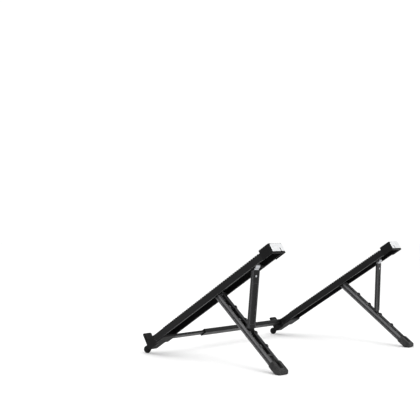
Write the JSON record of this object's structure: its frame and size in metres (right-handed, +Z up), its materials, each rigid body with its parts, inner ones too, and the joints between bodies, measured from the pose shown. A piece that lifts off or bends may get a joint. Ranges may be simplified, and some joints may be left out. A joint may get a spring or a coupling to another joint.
{
  "type": "folding laptop stand",
  "caption": "Folding laptop stand: inclined rails with grip pads and front stops, joined by a telescoping crossbar and held up by folding legs with struts.",
  "frame": {"origin": "centre of the overall box, on the table the stand rests on", "axes": "+X to the right of the person using the laptop, +Y away from them to the rear, +Z up"},
  "size_m": [0.337, 0.2634, 0.1614],
  "materials": {
    "frame_metal": "satin black anodised",
    "leg_metal": "satin charcoal anodised",
    "strut_metal": "satin black anodised",
    "block_plastic": "fine matt grain",
    "rack_plastic": "matt",
    "grip_rubber": "matt ribbed",
    "foot_rubber": "matt",
    "bright_steel": "brushed",
    "bright_plate": "satin"
  },
  "bodies": {
    "left_frame": {"rail_left": "frame_metal", "grip_pad_left": "grip_rubber", "front_block_left": "block_plastic", "lip_pad_left": "grip_rubber", "front_foot_left": "foot_rubber", "rear_cap_left": "block_plastic", "cap_plate_left": "bright_plate", "leg_pins_left": "bright_steel", "leg_washers_left": "rack_plastic", "strut_pin_left": "bright_steel", "strut_spacers_left": "rack_plastic", "block_screws_left": "bright_steel", "outer_tube": "frame_metal", "tube_bush": "rack_plastic"},
    "left_leg": {"leg_left": "leg_metal", "notch_rack_left": "rack_plastic", "leg_shoe_left": "foot_rubber", "shoe_pin_left": "bright_steel"},
    "left_strut": {"strut_left": "strut_metal", "strut_knuckle_left": "bright_steel", "strut_rivet_left": "bright_steel", "strut_toe_left": "rack_plastic"},
    "right_frame": {"rail_right": "frame_metal", "grip_pad_right": "grip_rubber", "front_block_right": "block_plastic", "lip_pad_right": "grip_rubber", "front_foot_right": "foot_rubber", "rear_cap_right": "block_plastic", "cap_plate_right": "bright_plate", "leg_pins_right": "bright_steel", "leg_washers_right": "rack_plastic", "strut_pin_right": "bright_steel", "strut_spacers_right": "rack_plastic", "block_screws_right": "bright_steel", "inner_bar": "leg_metal", "slide_block": "rack_plastic"},
    "right_leg": {"leg_right": "leg_metal", "notch_rack_right": "rack_plastic", "leg_shoe_right": "foot_rubber", "shoe_pin_right": "bright_steel"},
    "right_strut": {"strut_right": "strut_metal", "strut_knuckle_right": "bright_steel", "strut_rivet_right": "bright_steel", "strut_toe_right": "rack_plastic"}
  },
  "joints": [
    {"name": "width_slide", "type": "slide", "parent": "left_frame", "child": "right_frame", "axis": [1, 0, 0], "range_m": [-0.088, 0.028]},
    {"name": "left_leg_fold", "type": "hinge", "parent": "left_frame", "child": "left_leg", "pos_m": [-0.1507, 0.01539, 0.09192], "axis": [-0.9959, -0.0906, 0], "range_deg": [0, 103]},
    {"name": "left_strut_fold", "type": "hinge", "parent": "left_frame", "child": "left_strut", "pos_m": [-0.1526, 0.07978, 0.13192], "axis": [-0.9951, -0.0874, 0.0459], "range_deg": [0, 47]},
    {"name": "right_leg_fold", "type": "hinge", "parent": "right_frame", "child": "right_leg", "pos_m": [0.1507, 0.01539, 0.09192], "axis": [-0.9959, 0.0906, 0], "range_deg": [0, 103]},
    {"name": "right_strut_fold", "type": "hinge", "parent": "right_frame", "child": "right_strut", "pos_m": [0.1526, 0.07978, 0.13192], "axis": [-0.9951, 0.0874, -0.0459], "range_deg": [0, 47]}
  ],
  "couplings": [
    {"joint": "left_strut_fold", "follows": "left_leg_fold", "ratio": 0.45},
    {"joint": "right_strut_fold", "follows": "right_leg_fold", "ratio": 0.45}
  ]
}
